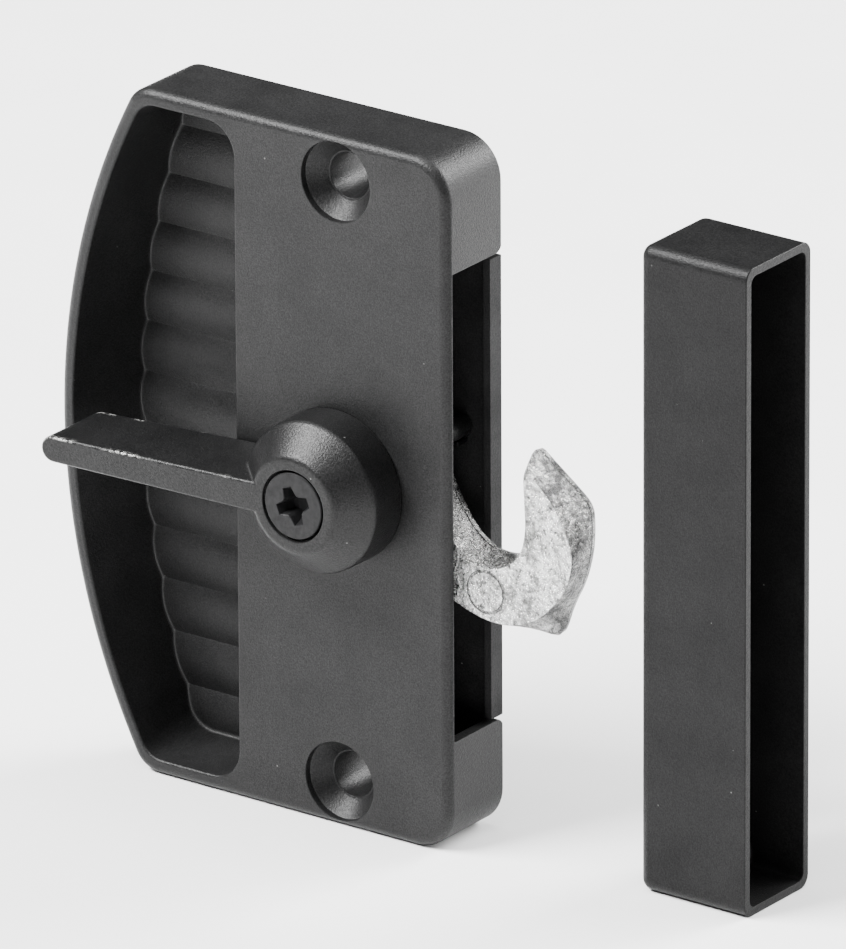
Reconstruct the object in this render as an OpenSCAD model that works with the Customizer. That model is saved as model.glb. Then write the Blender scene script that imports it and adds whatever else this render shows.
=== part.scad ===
// Surface-mounted hook latch for a sliding door, with its outside pull.
// X points from the bowed grip side to the hook side, Y points into the door, Z is up.
// The origin is on the lever's pivot axis, in the plane of the door face (y = 0).

/* [Housing] */
// Height of the latch housing
body_h = 87.6; // [87.4:0.2:90]
// Depth of the housing, from the door face to its front
body_d = 11; // [10.8:0.1:12]
// Pivot axis to the hook side of the housing
side_x = 16.2; // [16:0.1:17]
// Pivot axis to the widest point of the bowed side
bow_x = 41.2; // [38:0.2:42]
// Radius of the bowed side
bow_r = 89; // [84:1:96]
// Radius of the two corners beside the hook
corner_r = 5.2; // [4.6:0.1:6]
// Radius of the two corners of the bowed side
bow_corner_r = 4; // [3.4:0.1:4.6]
// Thickness of the front wall
face_t = 1.2; // [1:0.1:1.3]
// Thickness of the side walls
wall_t = 1.4; // [1.2:0.1:1.5]

/* [Finger recess] */
// Pivot axis to the straight edge of the recess
recess_x = 15; // [14.8:0.1:15.6]
// Width of the rim between the recess and the outside
rim_t = 2; // [1.6:0.1:2.2]
// Depth of the recess floor below the front
recess_deep = 10; // [9:0.1:10]
// How far the bowed wall of the recess leans in from rim to floor
recess_lean = 3.2; // [2:0.2:4.2]
// Radius of the floor's bowed side
floor_bow_r = 112; // [90:1:120]
// Number of grip ribs on the floor
rib_n = 13; // [9:1:15]
// Height of a grip rib
rib_h = 0.6; // [0.4:0.1:0.9]

/* [Fixing holes] */
// Distance between the two fixing holes
fix_pitch = 76.2; // [76:0.1:76.4]
// Radius of a fixing hole
fix_r = 2.85; // [2.4:0.05:3]
// Radius of a countersink at the front
csk_r = 5; // [4.6:0.1:5.2]
// Depth of the straight step above the countersink cone
csk_step = 0.9; // [0.2:0.1:1.2]

/* [Hook] */
// Thickness of the hook's arm
hook_t = 4.5; // [4:0.1:4.5]
// Front of the housing to the front of the hook's arm
hook_in = 2.6; // [2.6:0.1:2.7]
// Radius of the hook's hub
hub_r = 8; // [7.8:0.1:8]
// Height of the slot above and below the pivot axis
slot_half = 29.6; // [29.2:0.1:30]
// Radius of the detent cam at its corners
cam_r = 6.6; // [6.2:0.1:6.8]
// Pivot axis to a flat of the detent cam
cam_flat = 5.2; // [5:0.1:5.4]
// Turn of the lever from latched to unlatched, in degrees
throw = 80; // [70:1:80]

/* [Lever] */
// Radius of the lever's hub
lever_hub_r = 9.6; // [9:0.1:10]
// Height of the hub's round side above the housing
lever_side_h = 5.5; // [5:0.1:6]
// Height of the hub's flat top above the housing
lever_h = 8.9; // [8.5:0.1:9.5]
// Radius of the hub's flat top
lever_top_r = 5.8; // [5.4:0.1:6.4]
// Pivot axis to the tip of the lever
lever_reach = 37.4; // [34:0.2:38]
// Thickness of the lever's arm along its front edge
lever_edge_t = 3.8; // [3:0.1:4]
// Thickness of the lever's arm along its back edge
lever_back_t = 7; // [6:0.1:7.4]

/* [Outside pull] */
// Height of the pull
pull_h = 81.6; // [81.4:0.2:90]
// Width of the pull
pull_w = 15.4; // [14:0.2:18]
// Depth of the pull
pull_d = 13.1; // [12:0.1:16]
// Wall thickness of the pull
pull_wall = 1.1; // [1:0.1:1.5]
// Pivot axis to the closed side of the pull, as laid out beside the latch
pull_x = 40.5; // [38:0.5:60]
// How far the pull's back stands behind the latch's back, as laid out
pull_back = 6.6; // [0:0.1:10]

/* [Hidden] */
$fn = 64;
eps = 0.01;

// Planes across the depth of the latch
front_y = -body_d;
face_y = front_y + face_t;
hook_y = front_y + hook_in;
hook_back_y = hook_y + hook_t;
hook_mid_y = hook_y + 0.45 * hook_t;
boss_y = face_y + 1.25;
shoulder_y = boss_y + 0.55;
plate_t = 1;
cam_back_y = -plate_t - 0.15;

// Housing cavity
cavity_left = -recess_x + wall_t;
cavity_right = side_x - wall_t;
cavity_half = body_h / 2 - wall_t;
bow_centre = bow_r - bow_x;
lip_d = 2.3;
slot_gap = 0.4;

// Pivot stack
bush_r = 5;
journal_r = 3.95;
bush_bore_r = journal_r + 0.05;
stub_r = 2.5;
tenon = 5;
tenon_y = front_y - 4.5;
screw_shank_r = 1.6;
stop_r = 10.5;
stop_half = 1.6;
clear = 0.05;

// Detent spring
spring_t = 0.5;
spring_w = 2;
spring_z = cam_flat + clear;
spring_y = hook_back_y + 0.3;
spring_post_x = 11.5;
spring_post_r = 1.3;
loop_r = spring_post_r + clear;
spring_post_z = spring_z + spring_t + loop_r;

// Back plate screws
plate_screw_x = -9;
plate_screw_z = 36;
plate_screw_r = 1.05;
plate_screw_head_r = 2;
plate_post_r = 2.6;
fix_boss_r = 4.6;

// Lever
lever_gap = 0.15;
lever_back_y = front_y - lever_gap;
lever_side_y = front_y - lever_side_h;
lever_top_y = front_y - lever_h;
screw_head_r = 4.15;
screw_head_h = 2.1;
lever_bore_r = 2.2;
droop = 1.5;

// Outside pull
pull_y = pull_back - pull_d;
pull_z = -body_h / 2;
pull_mid_z = pull_z + pull_h / 2;
pull_edge_r = 1.6;
pull_boss_r = 3.4;
pull_boss_x = pull_x + 4.5;
pull_hole_r = 1.7;
pull_hole_deep = 9;

black = [0.13, 0.13, 0.13];
zinc = [0.68, 0.68, 0.66];
steel = [0.55, 0.56, 0.58];
acetal = [0.85, 0.84, 0.80];

// Points of an arc about c from angle a0 to a1
function arc(c, r, a0, a1, n) =
    [for (i = [0 : n]) c + r * [cos(a0 + (a1 - a0) * i / n), sin(a0 + (a1 - a0) * i / n)]];

// Outline with one bowed side: bow radius r, half height h, straight side at x = right
function bowed(r, h, right, left_r, right_r, centre = bow_centre) =
    let (cz = h - left_r,
         cx = centre - sqrt(pow(r - left_r, 2) - cz * cz),
         a = asin(cz / (r - left_r)))
    concat(arc([right - right_r, h - right_r], right_r, 0, 90, 8),
           arc([cx, cz], left_r, 90, 180 - a, 8),
           arc([centre, 0], r, 180 - a + 2, 178 + a, 16),
           arc([cx, -cz], left_r, 180 + a, 270, 8),
           arc([right - right_r, right_r - h], right_r, 270, 360, 8));

// Rectangle with its own corner radius on each side
function rounded(x0, x1, z0, z1, left_r, right_r) =
    concat(arc([x1 - right_r, z1 - right_r], right_r, 0, 90, 6),
           arc([x0 + left_r, z1 - left_r], left_r, 90, 180, 6),
           arc([x0 + left_r, z0 + left_r], left_r, 180, 270, 6),
           arc([x1 - right_r, z0 + right_r], right_r, 270, 360, 6));

// Closed outline with its corners cut n times, which rounds them
function soften(p, n) = n == 0 ? p : soften(
    [for (i = [0 : len(p) - 1]) let (q = p[(i + 1) % len(p)])
        each [p[i] * 0.75 + q * 0.25, p[i] * 0.25 + q * 0.75]], n - 1);

// Outline in the X-Z plane, solid from y0 back to y1
module slab(points, y0, y1) {
    translate([0, y1, 0]) rotate([90, 0, 0]) linear_extrude(y1 - y0) polygon(points);
}

// Round bar along Y at (x, z), with radius r0 at y0 and r1 at y1
module rod(x, z, y0, y1, r0, r1) {
    translate([x, y1, z]) rotate([90, 0, 0]) cylinder(h = y1 - y0, r1 = r1, r2 = r0);
}

// Box from corner to corner
module block(low, high) {
    translate(low) cube(high - low);
}

// Space of the finger recess, narrower at its floor
module recess_space() {
    floor_y = front_y + recess_deep;
    rim_half = body_h / 2 - rim_t;
    hull() {
        slab(bowed(bow_r - rim_t, rim_half, -recess_x, 3.2, 4), front_y - 1, front_y);
        slab(bowed(floor_bow_r, rim_half - 0.8, -recess_x - 0.4, 4, 2.5,
                   floor_bow_r + rim_t + recess_lean - bow_x), floor_y - 0.1, floor_y);
    }
}

// Convex grip ribs along X on the recess floor
module grip_ribs() {
    pitch = 2 * cavity_half / rib_n;
    rib_r = (pitch * pitch / 4 + rib_h * rib_h) / (2 * rib_h);
    rib_y = front_y + recess_deep - rib_h + rib_r;
    intersection() {
        block([-bow_x, rib_y - rib_r - 1, -cavity_half], [-recess_x + 1, -0.5, cavity_half]);
        for (i = [0 : rib_n - 1])
            translate([-bow_x, rib_y, (i - (rib_n - 1) / 2) * pitch])
                rotate([0, 90, 0]) cylinder(h = bow_x, r = rib_r, $fn = 96);
    }
}

// Countersunk fixing hole at height z
module fixing_hole(z) {
    cone = csk_r - fix_r;
    rod(0, z, front_y - 1, front_y + csk_step, csk_r, csk_r);
    rod(0, z, front_y + csk_step - eps, front_y + csk_step + cone, csk_r, fix_r);
    rod(0, z, front_y, 1, fix_r, fix_r);
}

// Boss behind a fixing hole, with a collar under the countersink
module fixing_boss(z) {
    rod(0, z, face_y - eps, 0, fix_boss_r, fix_boss_r);
    rod(0, z, face_y - eps, hook_y - 0.3, csk_r + 1, csk_r + 0.4);
}

module latch_housing() color(black) difference() {
    union() {
        difference() {
            slab(bowed(bow_r, body_h / 2, side_x, bow_corner_r, corner_r), front_y, 0);
            difference() {
                recess_space();
                grip_ribs();
            }
            slab(rounded(cavity_left, cavity_right, -cavity_half, cavity_half, 1.5, corner_r - wall_t),
                 face_y, 1);
            block([cavity_right - 1, face_y, -slot_half], [side_x + 1, 1, slot_half]);
        }
        intersection() {
            slab(bowed(bow_r, body_h / 2, side_x, bow_corner_r, corner_r), front_y, 0);
            for (side = [-1, 1]) fixing_boss(side * fix_pitch / 2);
        }
        for (side = [-1, 1]) {
            rod(plate_screw_x, side * plate_screw_z, face_y - eps, -plate_t, plate_post_r, plate_post_r);
            rod(side * spring_post_x, spring_post_z, face_y - eps, cam_back_y - 0.2,
                spring_post_r, spring_post_r);
        }
        rod(0, 0, face_y - eps, boss_y, hub_r - 0.4, hub_r - 0.4);
        // Stops that the hook's ear meets when latched and when unlatched
        block([cavity_left - eps, face_y - eps, -4.2], [-8.9, hook_y + 3.2, -stop_half - clear]);
        block([0.3, face_y - eps, 8.9], [2.6, hook_y + 3, 12.9]);
    }
    rod(0, 0, front_y - 1, 0, bush_r, bush_r);
    for (side = [-1, 1]) {
        fixing_hole(side * fix_pitch / 2);
        rod(plate_screw_x, side * plate_screw_z, -8, 0, plate_screw_r + clear, plate_screw_r + clear);
    }
}

module back_plate() color(steel) {
    edge = 0.3;
    difference() {
        union() {
            slab(rounded(cavity_left + edge, cavity_right - edge, edge - cavity_half, cavity_half - edge,
                         1.5, corner_r - wall_t), -plate_t, 0);
            block([cavity_right - 1, -plate_t, slot_gap - slot_half],
                  [side_x - 0.1, 0, slot_half - slot_gap]);
            // Folded lip that closes the back of the side slot
            block([side_x - 1.1, -lip_d, slot_gap - slot_half],
                  [side_x - 0.1, -plate_t + eps, slot_half - slot_gap]);
        }
        rod(0, 0, -plate_t - 1, 1, stub_r + clear, stub_r + clear);
        for (side = [-1, 1]) {
            rod(0, side * fix_pitch / 2, -plate_t - 1, 1, fix_boss_r + 0.25, fix_boss_r + 0.25);
            rod(plate_screw_x, side * plate_screw_z, -plate_t - eps, eps,
                plate_screw_r + clear, plate_screw_head_r + clear);
        }
    }
}

// Cross recess in a screw head whose face is at y = 0, opening towards -Y
module cross_recess(arm, width, deep) {
    for (turn = [0, 90])
        rotate([0, turn, 0]) block([-arm / 2, -1, -width / 2], [arm / 2, deep, width / 2]);
}

module back_plate_screws() color(steel) for (side = [-1, 1])
    difference() {
        union() {
            rod(plate_screw_x, side * plate_screw_z, -plate_t, -clear,
                plate_screw_r, plate_screw_head_r);
            rod(plate_screw_x, side * plate_screw_z, -7, -plate_t + eps, plate_screw_r, plate_screw_r);
        }
        translate([plate_screw_x, -clear, side * plate_screw_z])
            rotate([180, 0, 0]) cross_recess(2, 0.5, 0.6);
    }

module pivot_bush() color(acetal) difference() {
    rod(0, 0, front_y, boss_y, bush_r, bush_r);
    rod(0, 0, front_y - 1, boss_y + 1, bush_bore_r, bush_bore_r);
}

module thrust_washer() color(steel) difference() {
    rod(0, 0, boss_y + 0.1, shoulder_y, hub_r - 0.8, hub_r - 0.8);
    rod(0, 0, boss_y, shoulder_y + 1, journal_r + 0.1, journal_r + 0.1);
}

// Leaf that lies on the cam's flat, curled round one post and held under the other
module detent_spring() color(steel) {
    y0 = spring_y;
    y1 = spring_y + spring_w;
    difference() {
        rod(-spring_post_x, spring_post_z, y0, y1, loop_r + spring_t, loop_r + spring_t);
        rod(-spring_post_x, spring_post_z, y0 - 1, y1 + 1, loop_r, loop_r);
        block([-spring_post_x, y0 - 1, spring_post_z - spring_post_r - 1],
              [-spring_post_x + 3, y1 + 1, spring_post_z]);
    }
    block([-spring_post_x - eps, y0, spring_z], [spring_post_x + 0.8, y1, spring_z + spring_t]);
}

// Outline of the hook's front face, from the top of its hub round the throat, blunt end and flank
hook_face = [[3, 7.5], [7.2, 5.6], [11, 1.6], [13.4, -2.2], [15.4, -5.2], [18.4, -7.2], [22, -6.6],
    [24.6, -4.6], [25.5, -1], [25.2, 3], [25.1, 7.2], [27.2, 5.6], [29.2, 3.6], [30.6, 1.6],
    [31.8, -0.6], [32.5, -3.2], [31.6, -7], [29.2, -10.2], [26, -12.6], [22.4, -13.8], [18.6, -13.6],
    [14, -11.9], [8.4, -9], [3, -7.6]];

// Outline of the hook's rear half, with its pointed tip, fuller flank and pointed heel
hook_rear = [[3, 7.5], [7.8, 6], [11.6, 3], [13.2, -0.2], [15.4, -3.8], [18.4, -5.9], [22, -6],
    [24.4, -4.2], [24.8, -1], [24.4, 3.2], [24.3, 9], [27, 7], [30, 4.8], [32.6, 2.8],
    [32.9, 0.2], [32.7, -3.4], [31.6, -7.4], [29.9, -10.6], [28.1, -15.4], [24, -14.6], [20, -14.2],
    [14, -12.1], [8.4, -9.2], [3, -7.6]];

module hook() color(zinc) difference() {
    union() {
        difference() {
            union() {
                slab(soften(hook_face, 2), hook_y, hook_mid_y + eps);
                slab(soften(hook_rear, 2), hook_mid_y, hook_back_y);
                rod(0, 0, hook_y, hook_back_y, hub_r, hub_r);
                block([-stop_r, hook_y + 0.5, -stop_half], [0, hook_y + 2.8, stop_half]);
            }
            rod(0, 0, hook_y - 1, shoulder_y, hub_r + 0.6, hub_r + 0.6);
        }
        // Detent cam: two flats, one for each end of the throw
        intersection() {
            rod(0, 0, hook_back_y - eps, cam_back_y, cam_r, cam_r);
            block([-10, -10, -10], [10, 0, cam_flat]);
            rotate([0, -throw, 0]) block([-10, -10, -10], [10, 0, cam_flat]);
        }
        rod(0, 0, cam_back_y - eps, -0.2, stub_r, stub_r);
        rod(0, 0, front_y, shoulder_y + eps, journal_r, journal_r);
        block([-tenon / 2, tenon_y, -tenon / 2], [tenon / 2, front_y + eps, tenon / 2]);
    }
    rod(0, 0, tenon_y - 1, hook_y + 1, screw_shank_r + clear, screw_shank_r + clear);
}

// Blade of the lever: thin along its front edge, thicker towards the housing
module lever_arm() {
    tip_r = lever_edge_t / 2 - 0.3;
    tip_back_r = lever_back_t / 2 - 0.9;
    hull() {
        rod(-lever_reach + tip_r, 0, lever_top_y, lever_top_y + 0.1, tip_r, tip_r, $fn = 32);
        rod(-lever_reach + tip_back_r + 1, 0, lever_back_y - 0.5, lever_back_y - 0.4,
            tip_back_r, tip_back_r, $fn = 32);
        block([-4, lever_top_y, -lever_edge_t / 2], [-3.9, lever_top_y + 0.1, lever_edge_t / 2]);
        block([-4, lever_back_y - 0.5, -lever_back_t / 2], [-3.9, lever_back_y - 0.4, lever_back_t / 2]);
    }
}

module lever() color(black) difference() {
    union() {
        rod(0, 0, lever_side_y, lever_back_y, lever_hub_r, lever_hub_r);
        rod(0, 0, lever_top_y, lever_side_y + eps, lever_top_r, lever_hub_r);
        rotate([0, -droop, 0]) lever_arm();
    }
    block([-tenon / 2 - clear, tenon_y - 0.3, -tenon / 2 - clear],
          [tenon / 2 + clear, 0, tenon / 2 + clear]);
    rod(0, 0, lever_top_y - 1, front_y - 1, lever_bore_r, lever_bore_r);
    rod(0, 0, lever_top_y - eps, lever_top_y + screw_head_h, screw_head_r + 0.15, lever_bore_r);
}

module lever_screw() color(black) difference() {
    union() {
        rod(0, 0, lever_top_y + clear, lever_top_y + screw_head_h - clear,
            screw_head_r, lever_bore_r - 0.1);
        rod(0, 0, lever_top_y + screw_head_h - 0.1, tenon_y + 7, screw_shank_r, screw_shank_r);
    }
    translate([0, lever_top_y + clear, 0]) rotate([0, 25, 0]) cross_recess(4.5, 0.9, 1.7);
}

// Bar along X whose end view is the rectangle y0..y1 by z0..z1 with rounded corners
module tube_bar(x0, x1, y0, y1, z0, z1, r) {
    translate([x0, 0, 0]) rotate([90, 0, 90]) linear_extrude(x1 - x0)
        polygon(rounded(y0, y1, z0, z1, r, r));
}

module outside_pull() color(black) {
    top_z = pull_z + pull_h;
    in_y0 = pull_y + pull_wall;
    in_y1 = pull_back - pull_wall;
    difference() {
        tube_bar(pull_x, pull_x + pull_w, pull_y, pull_back, pull_z, top_z, pull_edge_r);
        difference() {
            tube_bar(pull_x + pull_wall, pull_x + pull_w + 1, in_y0, in_y1,
                     pull_z + pull_wall, top_z - pull_wall, pull_edge_r - 0.6);
            // Tapped bosses for the fixing screws, grown out of the closed side
            for (side = [-1, 1]) {
                z = pull_mid_z + side * fix_pitch / 2;
                rod(pull_boss_x, z, in_y0, in_y1, pull_boss_r, pull_boss_r);
                block([pull_x, in_y0, z - pull_boss_r], [pull_boss_x, in_y1, z + pull_boss_r]);
            }
        }
        for (side = [-1, 1])
            rod(pull_boss_x, pull_mid_z + side * fix_pitch / 2, pull_back - pull_hole_deep,
                pull_back + 1, pull_hole_r, pull_hole_r);
    }
}

latch_housing();
back_plate();
back_plate_screws();
pivot_bush();
thrust_washer();
detent_spring();
hook();
lever();
lever_screw();
outside_pull();
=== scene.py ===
"""Looks of a sliding-door hook latch and its outside pull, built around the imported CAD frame.

Shapes are worked out in millimetres, in the CAD's own axes: X to the hook side, Y into the door,
Z up, origin on the lever's pivot axis at the door face. finish_piece() turns them into metres.
"""

from math import asin, cos, degrees, hypot, pi, radians, sin, sqrt

import bmesh
import bpy
from mathutils import Matrix, Vector


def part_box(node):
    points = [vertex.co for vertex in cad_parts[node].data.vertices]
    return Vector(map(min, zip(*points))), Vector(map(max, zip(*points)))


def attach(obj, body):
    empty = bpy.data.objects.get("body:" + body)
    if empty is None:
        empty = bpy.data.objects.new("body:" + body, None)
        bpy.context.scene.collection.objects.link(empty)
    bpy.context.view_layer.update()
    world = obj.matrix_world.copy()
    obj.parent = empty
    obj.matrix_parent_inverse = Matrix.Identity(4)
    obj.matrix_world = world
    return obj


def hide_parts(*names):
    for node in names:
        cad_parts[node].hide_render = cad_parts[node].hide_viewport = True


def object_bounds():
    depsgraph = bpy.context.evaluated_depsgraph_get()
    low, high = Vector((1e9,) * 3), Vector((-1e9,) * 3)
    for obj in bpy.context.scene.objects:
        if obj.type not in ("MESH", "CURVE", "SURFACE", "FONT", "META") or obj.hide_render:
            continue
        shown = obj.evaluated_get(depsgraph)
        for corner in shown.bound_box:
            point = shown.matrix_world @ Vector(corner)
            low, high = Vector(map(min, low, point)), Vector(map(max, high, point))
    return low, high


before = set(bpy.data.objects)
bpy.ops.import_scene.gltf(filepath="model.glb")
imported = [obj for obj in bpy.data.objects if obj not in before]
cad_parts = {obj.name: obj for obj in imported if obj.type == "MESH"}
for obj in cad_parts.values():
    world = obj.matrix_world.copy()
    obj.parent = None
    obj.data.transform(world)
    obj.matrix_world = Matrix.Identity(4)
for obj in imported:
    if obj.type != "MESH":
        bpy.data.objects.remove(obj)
cad_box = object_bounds()

MM = 0.001


def box_mm(node):
    """Lowest and highest corner of a CAD node, in millimetres."""
    low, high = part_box(node)
    return low / MM, high / MM


# ---------------------------------------------------------------- driving sizes, in millimetres
HOUSE_LOW, HOUSE_HIGH = box_mm("latch_housing")
LEVER_LOW, LEVER_HIGH = box_mm("lever")
SCREW_LOW, SCREW_HIGH = box_mm("lever_screw")
PULL_LOW, PULL_HIGH = box_mm("outside_pull")

# Housing: open at the back, bowed on the left; FACE is the inside of its front wall.
FRONT = HOUSE_LOW.y
SIDE = HOUSE_HIGH.x
HALF_HEIGHT = HOUSE_HIGH.z
BOW_R = 89.0
BOW_CENTRE = BOW_R + HOUSE_LOW.x
BOW_CORNER_R = 4.0
CORNER_R = 5.2
FRONT_EDGE_R = 1.2
BACK_EDGE_R = 0.25
FRONT_WALL = 1.2
WALL = 1.4
FACE = FRONT + FRONT_WALL

# Finger recess: its walls lean in from the rim, and scallops run across its floor.
RECESS_X = 15.0
RECESS_FLOOR = FRONT + 10.0
RECESS_RIM = 2.0
RECESS_LIP = 0.35
RECESS_LEAN = 3.2
RECESS_FOOT_R = 0.65
FLOOR_BOW_R = 112.0
RIBS = 13
RIB_HEIGHT = 0.6

# Cavity behind the front wall, and the slot in its side.
CAVITY_LEFT = WALL - RECESS_X
CAVITY_RIGHT = SIDE - WALL
CAVITY_HALF = HALF_HEIGHT - WALL
CAVITY_CORNER_R = 2.4
SLOT_HALF = 29.6
SLOT_CORNER_R = 1.2

# Countersunk fixing holes, their bosses, and the posts and stops inside.
FIX_Z = 38.1
FIX_R = 2.85
CSK_R = 5.0
CSK_STEP = 0.9
BOSS_R = 4.6
PLATE_Y = -1.0
PLATE_POST_R = 2.6
PLATE_POST_X, PLATE_POST_Z = -9.0, 36.0
SPRING_POST_R = 1.3
SPRING_POST_X, SPRING_POST_Z = 11.5, 7.1
SPRING_POST_TOP = -1.4
PIVOT_BOSS_R = 7.6
PIVOT_HOLE_R = 5.0

# Hook, with the shaft that carries it.
HOOK_THICK = 4.5
HOOK_FRONT = FRONT + 2.6
HOOK_BACK = HOOK_FRONT + HOOK_THICK
HOOK_HUB_R = 8.0
JOURNAL_R = 3.95
CAM_R = 5.2
STUB_R = 2.5
TENON_HALF = 2.5
TENON_TIP = -15.5

# Lever: a conical hub and a slim blade that droops a little; the screw sits in the hub's ring.
LEVER_TOP = LEVER_LOW.y
LEVER_BACK = LEVER_HIGH.y
LEVER_SIDE = FRONT - 5.5
LEVER_HUB_R = LEVER_HIGH.x
LEVER_RING_R = 5.8
LEVER_TIP = -LEVER_LOW.x
LEVER_DROOP = radians(1.5)
SEAT_R = 4.45
SEAT_HOLE_R = 2.2
SOCKET_HALF = 2.55
SCREW_HEAD_R = 4.15
SCREW_SHANK_R = 1.6
CROSS_TURN = 22

# Outside pull: a box that is open on one side, with a tapped boss at each fixing hole.
PULL_WALL = 1.1
PULL_EDGE_R = 1.6
PULL_BOSS_R = 3.4
PULL_BOSS_X = PULL_LOW.x + 4.5
TAPPED_R = 1.7

# Cutters reach PAST the surface they cut, and added solids start SINK inside the wall.
PAST = 1.0
SINK = 0.4


# ---------------------------------------------------------------- outlines
def arc(cx, cz, r, start, end, n):
    """Arc about (cx, cz) in n equal steps, between two angles in degrees."""
    turns = [radians(start + (end - start) * i / n) for i in range(n + 1)]
    return [(cx + r * cos(a), cz + r * sin(a)) for a in turns]


def bowed(r, half, right, left_r, right_r, centre=BOW_CENTRE):
    """Outline bowed on the left: bow radius, half height, right side's x, and corner radii."""
    cz = half - left_r
    cx = centre - sqrt((r - left_r) ** 2 - cz * cz)
    a = degrees(asin(cz / (r - left_r)))
    gap = 1.2
    return (arc(right - right_r, half - right_r, right_r, 0, 90, 12)
            + arc(cx, cz, left_r, 90, 180 - a, 12)
            + arc(centre, 0, r, 180 - a + gap, 180 + a - gap, 40)
            + arc(cx, -cz, left_r, 180 + a, 270, 12)
            + arc(right - right_r, right_r - half, right_r, 270, 360, 12))


def rounded(x0, x1, z0, z1, r, n=8):
    """Rectangle with rounded corners."""
    return (arc(x1 - r, z1 - r, r, 0, 90, n) + arc(x0 + r, z1 - r, r, 90, 180, n)
            + arc(x0 + r, z0 + r, r, 180, 270, n) + arc(x1 - r, z0 + r, r, 270, 360, n))


def rotated(points, angle):
    """Outline turned about the origin, by an angle in radians."""
    return [(x * cos(angle) - z * sin(angle), x * sin(angle) + z * cos(angle)) for x, z in points]


def soften(points, times):
    """Cuts the corners of a closed outline, which rounds them."""
    for _ in range(times):
        cut = []
        for (ax, az), (bx, bz) in zip(points, points[1:] + points[:1]):
            cut += [(ax * 0.75 + bx * 0.25, az * 0.75 + bz * 0.25),
                    (ax * 0.25 + bx * 0.75, az * 0.25 + bz * 0.75)]
        points = cut
    return points


def inset(points, d):
    """Moves a clockwise outline inwards by d, point by point."""
    moved = []
    for before, here, after in zip(points[-1:] + points[:-1], points, points[1:] + points[:1]):
        dx, dz = after[0] - before[0], after[1] - before[1]
        size = hypot(dx, dz) or 1.0
        moved.append((here[0] + dz / size * d, here[1] - dx / size * d))
    return moved


def mix(a, b, k):
    """Outline part way from a to b."""
    return [(p[0] + (q[0] - p[0]) * k, p[1] + (q[1] - p[1]) * k) for p, q in zip(a, b)]


def quarter_round(y, sense, r, n=5):
    """(y, inset) steps of an edge rounded by r, from a face at y along sense (1 or -1)."""
    turns = [radians(90 * i / n) for i in range(n + 1)]
    return [(y + sense * r * (1 - cos(a)), r * (1 - sin(a))) for a in turns]


def edge_steps(y0, y1, r0, r1, n=5):
    """(y, inset) steps from y0 to y1, with edges rounded by r0 and r1 at the ends."""
    sense = 1 if y1 > y0 else -1
    return quarter_round(y0, sense, r0, n) + quarter_round(y1, -sense, r1, n)[::-1]


# ---------------------------------------------------------------- solids
def mesh_object(name, points, faces):
    """New object in the scene, with its face normals outwards."""
    mesh = bpy.data.meshes.new(name)
    mesh.from_pydata([tuple(p) for p in points], [], faces)
    bm = bmesh.new()
    bm.from_mesh(mesh)
    bmesh.ops.recalc_face_normals(bm, faces=bm.faces)
    bm.to_mesh(mesh)
    bm.free()
    obj = bpy.data.objects.new(name, mesh)
    bpy.context.scene.collection.objects.link(obj)
    return obj


def loft(name, rings):
    """Closed solid through rings that have the same number of points, flat at both ends."""
    n = len(rings[0])
    last = (len(rings) - 1) * n
    faces = [tuple(range(n)), tuple(range(last, last + n))]
    for k in range(len(rings) - 1):
        for i in range(n):
            j = (i + 1) % n
            faces.append((k * n + i, k * n + j, (k + 1) * n + j, (k + 1) * n + i))
    return mesh_object(name, [p for ring in rings for p in ring], faces)


def ring_xz(outline, y):
    return [(x, y, z) for x, z in outline]


def ring_yz(outline, x):
    return [(x, y, z) for y, z in outline]


def turned(name, profile, x=0.0, z=0.0, n=64):
    """Solid of revolution about the Y axis through (x, z), from (radius, y) pairs."""
    rings = [ring_xz(arc(x, z, r, 0, 360 - 360 / n, n - 1), y) for r, y in profile]
    return loft(name, rings)


def block(name, low, high):
    """Box between two opposite corners."""
    x0, y0, z0 = low
    x1, y1, z1 = high
    corners = [(x0, z0), (x1, z0), (x1, z1), (x0, z1)]
    return loft(name, [ring_xz(corners, y0), ring_xz(corners, y1)])


def torus(name, x, y, z, big_r, small_r, n=72, m=12):
    """Torus about the Y axis through (x, z), with its middle at y."""
    points, faces = [], []
    for i in range(n):
        turn = 2 * pi * i / n
        after = (i + 1) % n
        for j in range(m):
            tilt = 2 * pi * j / m
            beside = (j + 1) % m
            r = big_r + small_r * cos(tilt)
            points.append((x + r * cos(turn), y + small_r * sin(tilt), z + r * sin(turn)))
            faces.append((i * m + j, after * m + j, after * m + beside, i * m + beside))
    return mesh_object(name, points, faces)


def combine(target, cutters, operation="DIFFERENCE"):
    """Applies booleans to target and removes the cutters."""
    for cutter in cutters:
        step = target.modifiers.new("boolean", "BOOLEAN")
        step.operation = operation
        step.solver = "EXACT"
        step.object = cutter
    depsgraph = bpy.context.evaluated_depsgraph_get()
    result = bpy.data.meshes.new_from_object(target.evaluated_get(depsgraph))
    target.modifiers.clear()
    target.data = result
    for cutter in cutters:
        bpy.data.objects.remove(cutter)
    return target


def join(target, others):
    """Adds the meshes of others to target."""
    bm = bmesh.new()
    for obj in [target] + others:
        bm.from_mesh(obj.data)
    bm.to_mesh(target.data)
    bm.free()
    for obj in others:
        bpy.data.objects.remove(obj)
    return target


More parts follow.
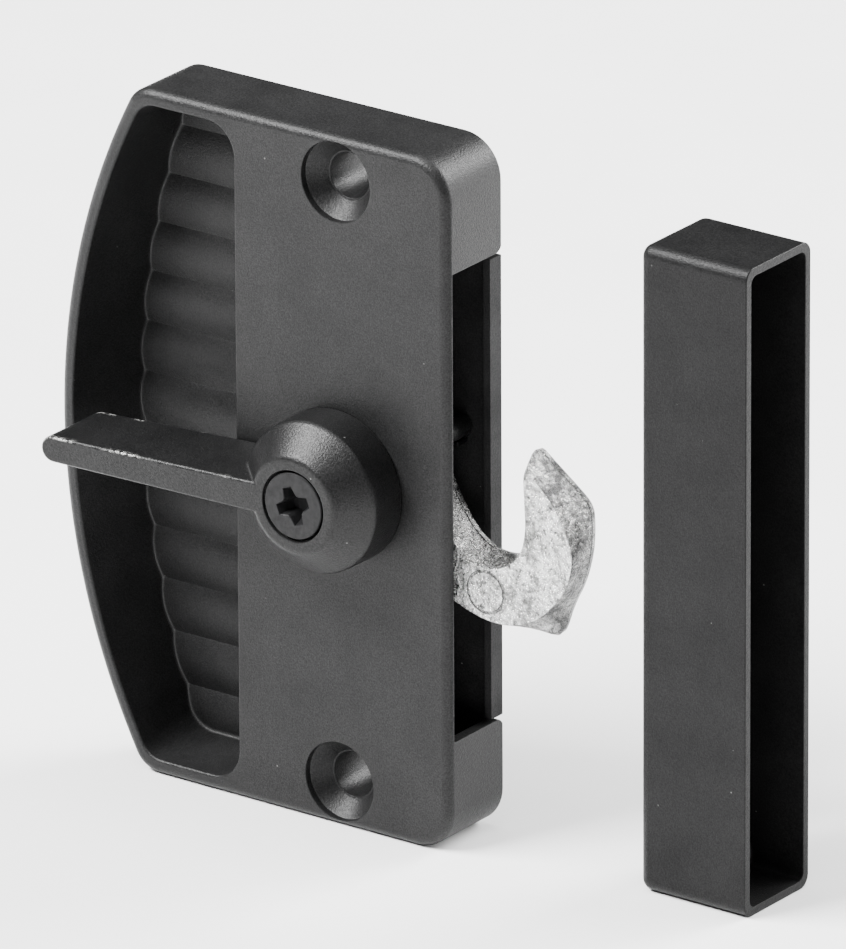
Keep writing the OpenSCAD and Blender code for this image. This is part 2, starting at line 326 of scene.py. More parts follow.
def finish_piece(obj, name, node, body, material, crease=34):
    """Millimetres to metres, smooth shading with true creases, and the frame's own calls."""
    weld, shortest = 0.0008, 0.0005
    obj.name = name
    obj.data.name = name
    bm = bmesh.new()
    bm.from_mesh(obj.data)
    bmesh.ops.remove_doubles(bm, verts=bm.verts, dist=weld)
    bmesh.ops.dissolve_degenerate(bm, edges=bm.edges, dist=shortest)
    bmesh.ops.scale(bm, vec=(MM, MM, MM), verts=bm.verts)
    for face in bm.faces:
        face.smooth = True
    for edge in bm.edges:
        edge.smooth = len(edge.link_faces) == 2 and edge.calc_face_angle(pi) < radians(crease)
    bm.to_mesh(obj.data)
    bm.free()
    obj.data.materials.clear()
    obj.data.materials.append(material)
    weighted = obj.modifiers.new("weighted_normals", "WEIGHTED_NORMAL")
    weighted.keep_sharp = True
    weighted.weight = 100
    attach(obj, body)
    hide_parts(node)


# ---------------------------------------------------------------- material kit
class Nodes:
    """A new material with a Principled shader, and short calls that add nodes to it."""

    def __init__(self, name):
        self.material = bpy.data.materials.new(name)
        self.material.use_nodes = True
        self.tree = self.material.node_tree
        self.shader = self.tree.nodes["Principled BSDF"]
        self.place = self.tree.nodes.new("ShaderNodeTexCoord").outputs["Object"]

    def set(self, **values):
        """Fixed values of the shader's sockets."""
        for key, value in values.items():
            self.shader.inputs[key.replace("_", " ")].default_value = value

    def link(self, output, socket):
        """Leads an output to one of the shader's sockets."""
        self.tree.links.new(output, self.shader.inputs[socket])

    def noise(self, per_metre, detail=3.0, rough=0.5, stretch=None):
        """Cloudy pattern around 0.5."""
        node = self.tree.nodes.new("ShaderNodeTexNoise")
        node.inputs["Scale"].default_value = per_metre
        node.inputs["Detail"].default_value = detail
        node.inputs["Roughness"].default_value = rough
        place = self.place
        if stretch:
            mapping = self.tree.nodes.new("ShaderNodeMapping")
            mapping.inputs["Scale"].default_value = stretch
            self.tree.links.new(place, mapping.inputs["Vector"])
            place = mapping.outputs["Vector"]
        self.tree.links.new(place, node.inputs["Vector"])
        return node.outputs["Fac"]

    def cells(self, per_metre):
        """Distance to the nearest of many scattered points."""
        node = self.tree.nodes.new("ShaderNodeTexVoronoi")
        node.inputs["Scale"].default_value = per_metre
        self.tree.links.new(self.place, node.inputs["Vector"])
        return node.outputs["Distance"]

    def ramp(self, value, low, high, out_low=0.0, out_high=1.0):
        """Maps low..high to out_low..out_high, and holds the ends."""
        node = self.tree.nodes.new("ShaderNodeMapRange")
        numbers = {"From Min": low, "From Max": high, "To Min": out_low, "To Max": out_high}
        for key, number in numbers.items():
            node.inputs[key].default_value = number
        self.tree.links.new(value, node.inputs["Value"])
        return node.outputs["Result"]

    def math(self, operation, a, b):
        """Maths on two outputs or numbers; sums and products are held within 0..1."""
        node = self.tree.nodes.new("ShaderNodeMath")
        node.operation = operation
        node.use_clamp = operation in ("MULTIPLY", "ADD")
        for index, value in enumerate((a, b)):
            if isinstance(value, (int, float)):
                node.inputs[index].default_value = value
            else:
                self.tree.links.new(value, node.inputs[index])
        return node.outputs[0]

    def both(self, a, b):
        """Product of two masks."""
        return self.math("MULTIPLY", a, b)

    def blend(self, fac, a, b):
        """Colour a where fac is 0 and b where it is 1."""
        node = self.tree.nodes.new("ShaderNodeMix")
        node.data_type = "RGBA"
        self.tree.links.new(fac, node.inputs[0])
        for socket, value in ((node.inputs[6], a), (node.inputs[7], b)):
            if isinstance(value, tuple):
                socket.default_value = (*value, 1.0)
            else:
                self.tree.links.new(value, socket)
        return node.outputs[2]

    def bump(self, height, strength, distance, under=None):
        """Normal bent by a height map, on top of another bump's normal if one is given."""
        node = self.tree.nodes.new("ShaderNodeBump")
        node.inputs["Strength"].default_value = strength
        node.inputs["Distance"].default_value = distance
        self.tree.links.new(height, node.inputs["Height"])
        if under:
            self.tree.links.new(under, node.inputs["Normal"])
        return node.outputs["Normal"]

    def near(self, reach, inside):
        """How much of the surroundings within reach is blocked, outside or inside the solid."""
        node = self.tree.nodes.new("ShaderNodeAmbientOcclusion")
        node.inside = inside
        node.only_local = True
        node.samples = 6
        node.inputs["Distance"].default_value = reach
        return self.math("SUBTRACT", 1.0, node.outputs["AO"])

    def edges(self, reach):
        """Above 0 along convex edges."""
        return self.near(reach, True)

    def hollows(self, reach):
        """Above 0 in grooves and inner corners."""
        return self.near(reach, False)

    def part_of(self, vector, axis):
        """One of a vector's three parts."""
        split = self.tree.nodes.new("ShaderNodeSeparateXYZ")
        self.tree.links.new(vector, split.inputs[0])
        return split.outputs[axis]

    def along(self, axis):
        """Position along one of the object's own axes, in metres."""
        return self.part_of(self.place, axis)

    def facing(self, axis):
        """How far a face looks along one of the object's own axes: 1 along it, -1 against it."""
        return self.part_of(self.tree.nodes.new("ShaderNodeTexCoord").outputs["Normal"], axis)


# ---------------------------------------------------------------- materials
# Noise and cell scales are per metre; the reach of edges and hollows and the depth of bumps
# are in metres. Colours are linear.
DUST = (0.11, 0.11, 0.107)
RUBBED_METAL = (0.62, 0.62, 0.60)
OXIDE = (0.04, 0.04, 0.04)
# Dark colour painted into the hook's throat as shade.
PAINTED_THROAT_SHADE = (0.05, 0.05, 0.05)


def worn_edges(m, wear):
    """Broken patches along the upper edges, clear of the lever's hub."""
    patches = m.both(m.ramp(m.noise(1900, 4.0, 0.7), wear, wear + 0.05),
                     m.ramp(m.noise(110, 2.0), 0.49, 0.56))
    upper = m.both(m.ramp(m.edges(0.0006), 0.12, 0.25), m.ramp(m.facing("Z"), 0.15, 0.4))
    blade = m.ramp(m.along("X"), -0.006, -0.009)
    return m.both(m.both(upper, blade), patches)


def powder_coat(name, tone, shine, rough, wear=None):
    """Satin black powder coat: fine grain, soft blotches, dust specks, a painted highlight in its
    grooves and inner corners, and worn edges if asked for.
    """
    m = Nodes(name)
    grain = m.noise(5200, 2.0, 0.6)
    blotches = m.ramp(m.both(grain, m.noise(140, 4.0, 0.6)), 0.12, 0.42)
    colour = m.blend(blotches, (tone * 0.6, tone * 0.6, tone * 0.62),
                     (tone * 1.5, tone * 1.5, tone * 1.52))
    specks = m.both(m.ramp(m.cells(420), 0.055, 0.035), m.ramp(m.noise(900, 1.0), 0.58, 0.62))
    colour = m.blend(specks, colour, DUST)
    # Painted highlight: the colour is lighter, and the coat more specular, in grooves and inner
    # corners, so that such joins show as a bright line.
    hollow_highlight = m.ramp(m.hollows(0.0006), 0.16, 0.40)
    colour = m.blend(hollow_highlight, colour, (tone * 7,) * 3)
    if wear:
        bare = worn_edges(m, wear)
        colour = m.blend(bare, colour, RUBBED_METAL)
        m.link(m.math("MULTIPLY", bare, 0.8), "Metallic")
    m.link(colour, "Base Color")
    gloss = m.ramp(grain, 0.3, 0.7, shine * 0.7, shine * 1.3)
    m.link(m.math("ADD", gloss, m.math("MULTIPLY", hollow_highlight, 0.36)), "Specular IOR Level")
    m.link(m.ramp(m.noise(2600, 3.0, 0.6), 0.3, 0.7, rough - 0.06, rough + 0.07), "Roughness")
    peel = m.bump(m.noise(2600, 2.0, 0.5), 0.32, 0.00007)
    m.link(m.bump(grain, 0.7, 0.00006, peel), "Normal")
    return m.material


def tumbled_zinc(name):
    """Bare zinc casting: bright mottled faces, darker sides that are partly their finish straight from
    the mould and partly painted shade, deepest in the throat, pits and oxide in the grooves.
    """
    m = Nodes(name)
    mottle = m.noise(1500, 6.0, 0.72)
    flow = m.noise(330, 5.0, 0.65, stretch=(1.0, 1.0, 0.45))
    fine = m.noise(4200, 3.0, 0.6)
    tone = m.math("ADD", m.math("MULTIPLY", mottle, 0.60), m.math("MULTIPLY", flow, 0.40))
    struck = m.blend(m.ramp(tone, 0.43, 0.57), (0.24, 0.24, 0.235), (0.96, 0.96, 0.95))
    # Sides that do not face along Y are darker, partly their finish straight from the mould and partly
    # painted shade.
    cast_and_shade = m.blend(m.ramp(m.both(mottle, m.noise(260, 3.0, 0.6)), 0.18, 0.34),
                   (0.07, 0.07, 0.07), (0.45, 0.45, 0.44))
    # Painted shade: darker still deep in hollows such as the throat.
    cast_and_shade = m.blend(m.ramp(m.hollows(0.012), 0.05, 0.20), cast_and_shade, PAINTED_THROAT_SHADE)
    flat = m.ramp(m.math("ABSOLUTE", m.facing("Y"), 0.0), 0.55, 0.85)
    pits = m.both(m.ramp(m.noise(2300, 4.0, 0.75), 0.55, 0.62), m.ramp(mottle, 0.56, 0.46))
    pits = m.math("ADD", pits, m.ramp(m.hollows(0.0004), 0.14, 0.40))
    m.link(m.blend(pits, m.blend(flat, cast_and_shade, struck), OXIDE), "Base Color")
    m.link(m.ramp(fine, 0.3, 0.7, 0.18, 0.34), "Roughness")
    waves = m.bump(flow, 0.8, 0.0006)
    dents = m.bump(mottle, 0.9, 0.00035, waves)
    grains = m.bump(m.cells(2300), 0.6, 0.00016, dents)
    m.link(m.bump(fine, 0.4, 0.00005, grains), "Normal")
    m.set(Metallic=0.9)
    return m.material


def steel(name, base, rough, metallic=1.0, shine=0.5):
    """Plated or blackened steel with fine marks, duller in its hollows."""
    m = Nodes(name)
    streak = m.noise(2600, 3.0, 0.6, stretch=(1.0, 1.0, 0.12))
    grain = m.noise(6000, 2.0, 0.6)
    dark = tuple(c * 0.72 for c in base)
    m.link(m.blend(m.ramp(streak, 0.35, 0.65), dark, base), "Base Color")
    gloss = m.ramp(m.noise(1300, 3.0, 0.6), 0.35, 0.65, shine * 0.7, shine * 1.3)
    dulled = m.ramp(m.hollows(0.004), 0.08, 0.30, 1.0, 0.10)
    m.link(m.both(gloss, dulled), "Specular IOR Level")
    m.link(m.ramp(grain, 0.3, 0.7, rough - 0.07, rough + 0.09), "Roughness")
    marks = m.math("ADD", m.math("MULTIPLY", streak, 0.5), m.math("MULTIPLY", grain, 0.5))
    m.link(m.bump(marks, 0.25, 0.00002), "Normal")
    m.set(Metallic=metallic)
    return m.material


def moulded_acetal(name):
    """Off-white moulded plastic."""
    m = Nodes(name)
    cloud = m.noise(500, 3.0, 0.5)
    m.link(m.blend(m.ramp(cloud, 0.3, 0.7), (0.74, 0.73, 0.68), (0.84, 0.83, 0.79)), "Base Color")
    m.link(m.ramp(m.noise(3000, 2.0), 0.3, 0.7, 0.34, 0.46), "Roughness")
    m.link(m.bump(m.noise(3500, 2.0), 0.2, 0.00002), "Normal")
    return m.material


def floor_paper(name):
    """Pale matt paper."""
    m = Nodes(name)
    cloud = m.noise(40, 3.0)
    m.link(m.blend(m.ramp(cloud, 0.3, 0.7), (0.86, 0.86, 0.86), (0.89, 0.89, 0.89)), "Base Color")
    m.link(m.bump(m.noise(2500, 2.0), 0.05, 0.00002), "Normal")
    m.set(Roughness=0.9)
    return m.material


BLACK_COAT = powder_coat("black_coat", tone=0.0080, shine=0.205, rough=0.42)
PULL_COAT = powder_coat("pull_coat", tone=0.006, shine=0.133, rough=0.42)
LEVER_COAT = powder_coat("lever_coat", tone=0.006, shine=0.213, rough=0.36, wear=0.47)
PLATE_COAT = powder_coat("black_plate", tone=0.018, shine=0.05, rough=0.46)
ZINC = tumbled_zinc("bare_zinc")
BLACK_SCREW = steel("black_screw", (0.012, 0.012, 0.0125), rough=0.44, metallic=0.1, shine=0.16)
PLATED = steel("plated_screw", (0.58, 0.58, 0.56), rough=0.30)
SPRING = steel("spring_steel", (0.05, 0.05, 0.053), rough=0.42)
ACETAL = moulded_acetal("acetal")


# ---------------------------------------------------------------- latch housing
def recess_outline(k, grow=0.0):
    """Recess outline, from its rim (k = 0) to its floor (k = 1)."""
    rim = BOW_R - RECESS_RIM
    r = rim + (FLOOR_BOW_R - rim) * k
    half = HALF_HEIGHT - RECESS_RIM - 0.8 * k
    right = -RECESS_X - 0.4 * k
    left_r = 3.2 + 0.8 * k
    right_r = 4.0 - 1.5 * k
    return bowed(r + grow, half + grow, right + grow, left_r + grow, right_r + grow,
                 BOW_CENTRE - rim + RECESS_LEAN * k + r)


def recess_walls():
    """Recess with a rounded lip and leaning walls, going a little below its floor."""
    lip_y = FRONT + RECESS_LIP
    rings = [ring_xz(recess_outline(0, RECESS_LIP), FRONT - PAST)]
    for y, r in quarter_round(FRONT, 1, RECESS_LIP):
        rings.append(ring_xz(recess_outline(0, r), y))
    for k in (0.25, 0.5, 0.75, 1.0, 1.08):
        rings.append(ring_xz(recess_outline(k), lip_y + (RECESS_FLOOR - lip_y) * k))
    return loft("recess_walls", rings)


def recess_ribs():
    """Block in front of the recess floor, with a scallop for each rib across its back."""
    steps = 12
    pitch = 2 * CAVITY_HALF / RIBS
    floor = []
    for i in range(RIBS * steps + 1):
        across = (i % steps) / steps * 2 - 1
        height = RIB_HEIGHT * (1 - across * across)
        floor.append((RECESS_FLOOR - height, -CAVITY_HALF + i * pitch / steps))
    front, end = FRONT - 2 * PAST, CAVITY_HALF + 2 * PAST
    section = [(front, -end), (RECESS_FLOOR, -end)] + floor + [(RECESS_FLOOR, end), (front, end)]
    past_bow, past_straight_side = -60.0, -10.0
    return loft("recess_ribs", [ring_yz(section, past_bow), ring_yz(section, past_straight_side)])


def round_foot(cutter):
    """Rounds the edges where the recess walls meet its floor."""
    steepest_floor, flattest_wall, lip_end = 0.75, 0.6, FRONT + 7
    bm = bmesh.new()
    bm.from_mesh(cutter.data)
    bmesh.ops.remove_doubles(bm, verts=bm.verts, dist=0.001)
    foot = []
    for edge in bm.edges:
        if len(edge.link_faces) != 2:
            continue
        wall, floor = sorted(abs(face.normal.y) for face in edge.link_faces)
        deep = min(v.co.y for v in edge.verts) > lip_end
        if wall < flattest_wall and floor > steepest_floor and deep:
            foot.append(edge)
    bmesh.ops.bevel(bm, geom=foot, offset=RECESS_FOOT_R, segments=5, profile=0.5,
                    affect="EDGES", clamp_overlap=True)
    bm.to_mesh(cutter.data)
    bm.free()


def recess_cutter():
    cutter = combine(recess_walls(), [recess_ribs()], "INTERSECT")
    round_foot(cutter)
    return cutter


def countersink(z):
    """Fixing hole: rounded mouth, short straight step, cone, narrow ledge and bore."""
    step = FRONT + CSK_STEP
    ledge = step + CSK_R - FIX_R - 0.2
    mouth = [(CSK_R + 0.14, FRONT - PAST), (CSK_R + 0.14, FRONT), (CSK_R + 0.04, FRONT + 0.05),
             (CSK_R, FRONT + 0.14)]
    cone = [(CSK_R, step), (CSK_R - 0.1, step + 0.12), (FIX_R + 0.3, ledge - 0.1)]
    bore = [(FIX_R + 0.22, ledge), (FIX_R + 0.1, ledge + 0.02), (FIX_R + 0.02, ledge + 0.08),
            (FIX_R, ledge + 0.2), (FIX_R, PAST)]
    return turned("countersink", mouth + cone + bore, z=z, n=72)


def slot_section(grow):
    """Slot in the YZ plane, open at the back, with its rear corners rounded outwards."""
    half, r = SLOT_HALF + grow, SLOT_CORNER_R
    top = [(FACE - grow, half), (-r, half)]
    for i in range(1, 7):
        a = radians(90 * i / 6)
        top.append((-r + r * sin(a), half + r * (1 - cos(a))))
    top.append((PAST, half + r))
    return top + [(y, -z) for y, z in reversed(top)]


def slot_cutter():
    """Side slot, with a small chamfer at its mouth."""
    steps = ((CAVITY_RIGHT - PAST, 0.0), (SIDE - 0.16, 0.0), (SIDE - 0.05, 0.05), (SIDE, 0.16),
             (SIDE + PAST, 0.16))
    return loft("slot", [ring_yz(slot_section(grow), x) for x, grow in steps])


def fixing_boss(z):
    """Boss that carries a countersunk hole through to the door face."""
    profile = [(CSK_R + 0.5, FACE - SINK), (CSK_R + 0.5, FACE), (CSK_R + 0.2, FACE + 0.9),
               (BOSS_R, FACE + 1.2), (BOSS_R, -0.1), (BOSS_R - 0.1, 0.0)]
    return turned("fixing_boss", profile, z=z, n=48)


def post(name, r, top, x, z, n):
    """Round post on the inside of the front wall."""
    return turned(name, [(r, FACE - SINK), (r, top)], x, z, n)


def stop(name, x0, x1, z0, z1, reach):
    """Block on the inside of the front wall, reaching past the hook's face, for the hook's ear."""
    return block(name, (x0, FACE - SINK, z0), (x1, HOOK_FRONT + reach, z1))


def housing_inside():
    """Bosses, posts and stops behind the front wall, as one mesh."""
    solids = [fixing_boss(FIX_Z), fixing_boss(-FIX_Z)]
    for side in (-1, 1):
        solids.append(post("plate_post", PLATE_POST_R, PLATE_Y,
                           PLATE_POST_X, side * PLATE_POST_Z, 32))
        solids.append(post("spring_post", SPRING_POST_R, SPRING_POST_TOP,
                           side * SPRING_POST_X, SPRING_POST_Z, 24))
    solids.append(turned("pivot_boss", [(PIVOT_BOSS_R, FACE - SINK), (PIVOT_BOSS_R, FACE + 1.15),
                                        (PIVOT_BOSS_R - 0.1, FACE + 1.25)]))
    solids.append(stop("latched_stop", CAVITY_LEFT - SINK, -8.9, -4.2, -1.65, 3.2))
    solids.append(stop("open_stop", 0.3, 2.6, 8.9, 12.9, 3.0))
    return join(solids[0], solids[1:])


def make_housing():
    outside = (BOW_R, HALF_HEIGHT, SIDE, BOW_CORNER_R, CORNER_R)
    rings = []
    for y, r in edge_steps(FRONT, 0.0, FRONT_EDGE_R, BACK_EDGE_R, 8):
        rings.append(ring_xz(bowed(*[size - r for size in outside]), y))
    body = loft("housing", rings)
    room = rounded(CAVITY_LEFT, CAVITY_RIGHT, -CAVITY_HALF, CAVITY_HALF, CAVITY_CORNER_R)
    cavity = loft("cavity", [ring_xz(room, FACE), ring_xz(room, PAST)])
    combine(body, [cavity, slot_cutter()])
    combine(body, [housing_inside()], "UNION")
    pivot_hole = turned("pivot_hole", [(PIVOT_HOLE_R, FRONT - PAST), (PIVOT_HOLE_R, PAST)])
    combine(body, [countersink(FIX_Z), countersink(-FIX_Z), recess_cutter(), pivot_hole])
    finish_piece(body, "housing_casting", "latch_housing", "root", BLACK_COAT)


make_housing()


# ---------------------------------------------------------------- lever and its screw
def arm_outline(k, shrink):
    """Outline of the lever's blade, from its back edge (k = 0) to its front edge (k = 1)."""
    inner_end = -3.0
    root = 3.5 - 1.6 * k - shrink
    tip = 2.6 - 1.0 * k - shrink
    reach = LEVER_TIP - 1.0 + 1.0 * k - shrink
    plan = [(inner_end, root)] + arc(-reach + tip, 0.0, tip, 90, 270, 20) + [(inner_end, -root)]
    return rotated(plan, LEVER_DROOP)


def lever_hub():
    """Hub: straight skirt, rounded shoulder, cone, and a flat ring around the screw."""
    back, side, top = LEVER_BACK, LEVER_SIDE, LEVER_TOP
    outer, ring = LEVER_HUB_R, LEVER_RING_R
    skirt = [(outer - 0.3, back), (outer - 0.08, back - 0.08), (outer, back - 0.3)]
    shoulder = [(outer - 0.05, side + 0.45), (outer - 0.14, side + 0.15),
                (outer - 0.36, side - 0.15)]
    crown = [(ring + 0.42, top + 0.32), (ring + 0.18, top + 0.13), (ring - 0.12, top + 0.03),
             (ring - 0.4, top)]
    return turned("lever_hub", skirt + shoulder + crown, n=96)


def lever_arm():
    back = LEVER_BACK - 0.5
    rings = []
    for y, r in edge_steps(back, LEVER_TOP + 0.015, 0.3, 0.34):
        k = (y - back) / (LEVER_TOP - back)
        rings.append(ring_xz(arm_outline(k, r), y))
    return loft("lever_arm", rings)


def make_lever():
    top, socket_floor = LEVER_TOP, -15.8
    lever = combine(lever_hub(), [lever_arm()], "UNION")
    seat = turned("screw_seat", [
        (SEAT_R + 0.17, top - PAST), (SEAT_R + 0.17, top), (SEAT_R + 0.05, top + 0.06),
        (SEAT_R, top + 0.18), (SEAT_R, top + 0.5),
        (SEAT_HOLE_R, top + 2.6), (SEAT_HOLE_R, socket_floor + 0.1)], n=72)
    socket = block("socket", (-SOCKET_HALF, socket_floor, -SOCKET_HALF),
                   (SOCKET_HALF, -11.0, SOCKET_HALF))
    combine(lever, [seat, socket])
    finish_piece(lever, "lever_casting", "lever", "latch_rotor", LEVER_COAT, 30)


def cross_outline(reach, half):
    """Cross recess in plan: four straight arms with filled-in corners between them."""
    tip, near, far = half * 0.8, half + 0.12, half + 0.42
    arm = [(reach, -tip), (reach, tip), (far, near), (near, far)]
    points = []
    for quarter in range(4):
        points += rotated(arm, radians(90 * quarter + CROSS_TURN))
    return points


def make_lever_screw():
    top, end = SCREW_LOW.y, SCREW_HIGH.y
    screw = turned("screw", [
        (SCREW_HEAD_R - 0.3, top), (SCREW_HEAD_R - 0.09, top + 0.05), (SCREW_HEAD_R, top + 0.2),
        (SCREW_HEAD_R - 0.05, top + 0.34), (SCREW_SHANK_R + 0.5, top + 2.0),
        (SCREW_SHANK_R, top + 2.05), (SCREW_SHANK_R, end - 0.3), (SCREW_SHANK_R - 0.3, end)], n=72)
    # Depth below the head's face, reach of the arms, half width of an arm.
    stations = ((-0.5, 2.44, 0.86), (0.0, 2.38, 0.82), (0.08, 2.32, 0.76), (1.0, 2.0, 0.66),
                (2.0, 1.4, 0.48))
    cross = loft("cross", [ring_xz(cross_outline(reach, half), top + deep)
                           for deep, reach, half in stations])
    combine(screw, [cross])
    finish_piece(screw, "lever_screw_head", "lever_screw", "latch_rotor", BLACK_SCREW,
                 30)


make_lever()
make_lever_screw()


# ---------------------------------------------------------------- hook
# Corner points, clockwise from the top of the root, of the hook's face and of its rear.
HOOK_FACE = [(3, 7.5), (7.2, 5.6), (11, 1.6), (13.4, -2.2), (15.4, -5.2), (18.4, -7.2), (22, -6.6),
             (24.6, -4.6), (25.5, -1), (25.2, 3), (25.1, 7.2), (27.2, 5.6), (29.2, 3.6),
             (30.6, 1.6), (31.8, -0.6), (32.5, -3.2), (31.6, -7), (29.2, -10.2), (27.2, -11.9),
             (26, -12.6), (24.8, -13.1), (22.4, -13.8), (18.6, -13.6), (14, -11.9), (8.4, -9),
             (3, -7.6)]
HOOK_REAR = [(3, 7.5), (7.8, 6), (11.6, 3), (13.2, -0.2), (15.4, -3.8), (18.4, -5.9), (22, -6),
             (24.4, -4.2), (24.8, -1), (24.4, 3.2), (24.3, 9), (27, 7), (30, 4.8),
             (32.6, 2.8), (32.9, 0.2), (32.7, -3.4), (31.6, -7.4), (29.9, -10.6), (29, -13.4),
             (28.3, -14.7), (26.9, -14.5), (24, -14.2), (20, -14.2), (14, -12.1), (8.4, -9.2),
             (3, -7.6)]


def hook_blade():
    """Hook from its face to its rear, with a parting groove where the mould's halves met."""
    face = soften(HOOK_FACE, 3)
    rear = soften(HOOK_REAR, 3)
    groove = 0.24
    # Outline, how far it is inset, depth behind the hook's face.
    stations = ((face, 0.26, 0.0), (face, 0.10, 0.06), (face, 0.0, 0.24),
                (mix(face, rear, 0.42), 0.0, 1.3), (mix(face, rear, 0.86), 0.0, 2.5),
                (rear, 0.0, 3.15), (rear, 0.04, 3.3), (rear, groove, 3.38), (rear, groove, 3.5),
                (rear, 0.08, 3.58), (rear, 0.12, 4.2), (rear, 0.34, HOOK_THICK))
    return loft("hook", [ring_xz(inset(outline, d), HOOK_FRONT + deep)
                         for outline, d, deep in stations])


def hook_shaft():
    """Journal, cam, stub end, square tenon for the lever, and the ear that meets the stops."""
    front = HOOK_FRONT
    return [
        turned("journal", [(JOURNAL_R - 0.2, FRONT), (JOURNAL_R, FRONT + 0.2),
                           (JOURNAL_R, front + 0.5)], n=48),
        turned("cam", [(CAM_R, HOOK_BACK - 0.05), (CAM_R, -1.15)], n=48),
        turned("stub", [(STUB_R, -1.2), (STUB_R, -0.35), (STUB_R - 0.15, -0.2)], n=48),
        block("tenon", (-TENON_HALF, TENON_TIP, -TENON_HALF), (TENON_HALF, FRONT + 0.1, TENON_HALF)),
        block("ear", (-10.5, front + 0.5, -1.6), (-6.5, front + 2.8, 1.6))]


def make_hook():
    front = HOOK_FRONT
    hub_face = front + 0.4
    hook = hook_blade()
    hub = turned("hook_hub", [(HOOK_HUB_R, hub_face), (HOOK_HUB_R, HOOK_BACK - 0.01)])
    combine(hook, [hub], "UNION")
    recess_r = HOOK_HUB_R + 0.6
    recess = turned("hub_recess", [(recess_r, front - PAST), (recess_r, hub_face)])
    ejector_mark = torus("ejector_mark", x=19.8, y=front, z=-10.0, big_r=2.6, small_r=0.19)
    combine(hook, [recess, ejector_mark])
    join(hook, hook_shaft())
    finish_piece(hook, "hook_casting", "hook", "latch_rotor", ZINC, 38)


make_hook()


# ---------------------------------------------------------------- outside pull
def pull_section(inwards, r):
    """The pull's outline in the YZ plane, moved inwards, with corners of radius r."""
    return rounded(PULL_LOW.y + inwards, PULL_HIGH.y - inwards,
                   PULL_LOW.z + inwards, PULL_HIGH.z - inwards, r, 10)


def pull_hollow():
    """Inside of the pull: rounded floor corners, slight draft and a chamfered mouth."""
    floor, mouth = PULL_LOW.x + PULL_WALL, PULL_HIGH.x
    steps = ((floor, -0.9), (floor + 0.15, -0.55), (floor + 0.6, -0.28), (floor + 4, -0.2),
             (mouth - 0.14, 0.0), (mouth - 0.04, 0.04), (mouth, 0.14), (mouth + PAST, 0.14))
    return loft("hollow", [ring_yz(pull_section(PULL_WALL - grow, 1.0 + grow), x)
                           for x, grow in steps])


def pull_boss(z):
    """Half-round boss against the pull's floor."""
    back = PULL_LOW.x
    plan = arc(PULL_BOSS_X, z, PULL_BOSS_R, -90, 90, 20)
    plan += [(back, z + PULL_BOSS_R), (back, z - PULL_BOSS_R)]
    return loft("boss", [ring_xz(plan, PULL_LOW.y + 0.3), ring_xz(plan, PULL_HIGH.y - 0.3)])


def tapped_hole(z):
    back = PULL_HIGH.y
    profile = [(TAPPED_R, back - 9), (TAPPED_R, back - 0.35), (TAPPED_R + 0.35, back),
               (TAPPED_R + 0.35, back + PAST)]
    return turned("tapped_hole", profile, PULL_BOSS_X, z, 40)


def make_pull():
    shell = loft("pull", [ring_yz(pull_section(r, PULL_EDGE_R - r), x)
                          for x, r in edge_steps(PULL_LOW.x, PULL_HIGH.x, 1.5, 0.16, 7)])
    middle = (PULL_LOW.z + PULL_HIGH.z) / 2
    low, high = middle - FIX_Z, middle + FIX_Z
    bosses = join(pull_boss(low), [pull_boss(high)])
    hollow = combine(pull_hollow(), [bosses])
    combine(shell, [hollow, tapped_hole(low), tapped_hole(high)])
    finish_piece(shell, "pull_casting", "outside_pull", "root", PULL_COAT)


make_pull()


# ---------------------------------------------------------------- CAD nodes that keep their shape
def dress(node, material, edge):
    """Gives a CAD node its material and a fine rounded edge, in millimetres."""
    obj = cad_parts[node]
    obj.data.materials.clear()
    obj.data.materials.append(material)
    weld = obj.modifiers.new("weld", "WELD")
    weld.merge_threshold = 0.002 * MM
    bevel = obj.modifiers.new("soft_edge", "BEVEL")
    bevel.width = edge * MM
    bevel.segments = 2
    bevel.limit_method = "ANGLE"
    bevel.angle_limit = radians(40)
    bevel.harden_normals = True


dress("back_plate", PLATE_COAT, 0.12)
dress("back_plate_screws", PLATED, 0.06)
dress("pivot_bush", ACETAL, 0.08)
dress("thrust_washer", SPRING, 0.05)
dress("detent_spring", SPRING, 0.05)


# ---------------------------------------------------------------- floor, lights and camera
# Lengths here are in metres.
FLOOR_HALF = 3.0
WORLD_STRENGTH = 0.11

# Azimuth and elevation in degrees, distance, width, height, and power in watts.
LIGHTS = {
    "overhead": (0, 84, 1.3, 1.2, 1.2, 23.0),
    "front_top": (-43, 49, 1.0, 0.62, 0.20, 42.0),
    "right": (128, 14, 1.0, 0.5, 0.6, 12.0),
    "back_right": (156, 30, 0.9, 0.36, 0.36, 18.0),
}

# Camera at the photograph's viewing angle: degrees, but roll in radians, and lens in sensor mm.
CAMERA_AZIMUTH, CAMERA_ELEVATION = 36.3, 21.5
CAMERA_ROLL = -0.005
CAMERA_DISTANCE = 2.0
CAMERA_LENS = 645.0
CAMERA_TARGET = Vector((13.94, -12.84, 5.0)) * MM


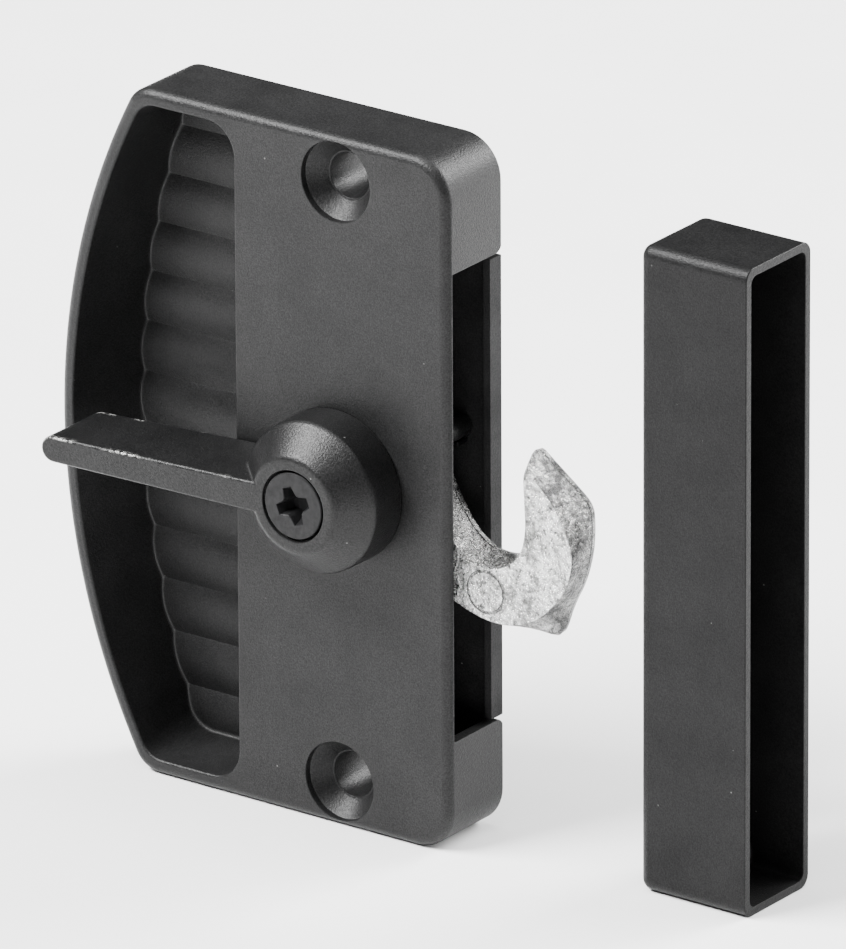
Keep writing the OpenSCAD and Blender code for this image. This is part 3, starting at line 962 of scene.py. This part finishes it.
def make_floor():
    """Large square that the housing and the pull stand on."""
    s, z = FLOOR_HALF, cad_box[0].z
    mesh = bpy.data.meshes.new("floor")
    mesh.from_pydata([(-s, -s, z), (s, -s, z), (s, s, z), (-s, s, z)], [], [(0, 1, 2, 3)])
    mesh.materials.append(floor_paper("floor_paper"))
    floor = bpy.data.objects.new("floor", mesh)
    bpy.context.scene.collection.objects.link(floor)


def direction(azimuth, elevation):
    """Unit vector at an azimuth from -Y towards +X and an elevation, both in degrees."""
    a, e = radians(azimuth), radians(elevation)
    return Vector((sin(a) * cos(e), -cos(a) * cos(e), sin(e)))


def aim(name, data, target, away, distance, roll=0.0):
    """Adds a light or camera at a distance from target, looking back at it."""
    obj = bpy.data.objects.new(name, data)
    obj.location = target + away * distance
    obj.rotation_mode = "QUATERNION"
    look = (-away).to_track_quat("-Z", "Y")
    obj.rotation_quaternion = look @ Matrix.Rotation(roll, 4, "Z").to_quaternion()
    bpy.context.scene.collection.objects.link(obj)
    return obj


def make_camera():
    """Camera with a long lens that frames the latch and the pull."""
    data = bpy.data.cameras.new("camera")
    data.lens = CAMERA_LENS
    data.sensor_width = 36
    data.clip_start = 0.05
    data.clip_end = 20
    away = direction(CAMERA_AZIMUTH, CAMERA_ELEVATION)
    bpy.context.scene.camera = aim("camera", data, CAMERA_TARGET, away, CAMERA_DISTANCE, CAMERA_ROLL)


def make_light(name, azimuth, elevation, distance, width, height, power):
    """Soft light panel that looks at the middle of the object."""
    data = bpy.data.lights.new(name, "AREA")
    data.shape = "RECTANGLE"
    data.size = width
    data.size_y = height
    data.energy = power
    middle = (cad_box[0] + cad_box[1]) / 2
    aim(name, data, middle, direction(azimuth, elevation), distance)


def make_world():
    """Even white light from all round."""
    world = bpy.data.worlds.new("studio")
    world.use_nodes = True
    background = world.node_tree.nodes["Background"]
    background.inputs["Color"].default_value = (1, 1, 1, 1)
    background.inputs["Strength"].default_value = WORLD_STRENGTH
    bpy.context.scene.world = world


make_floor()
make_camera()
for light_name, values in LIGHTS.items():
    make_light(light_name, *values)
make_world()
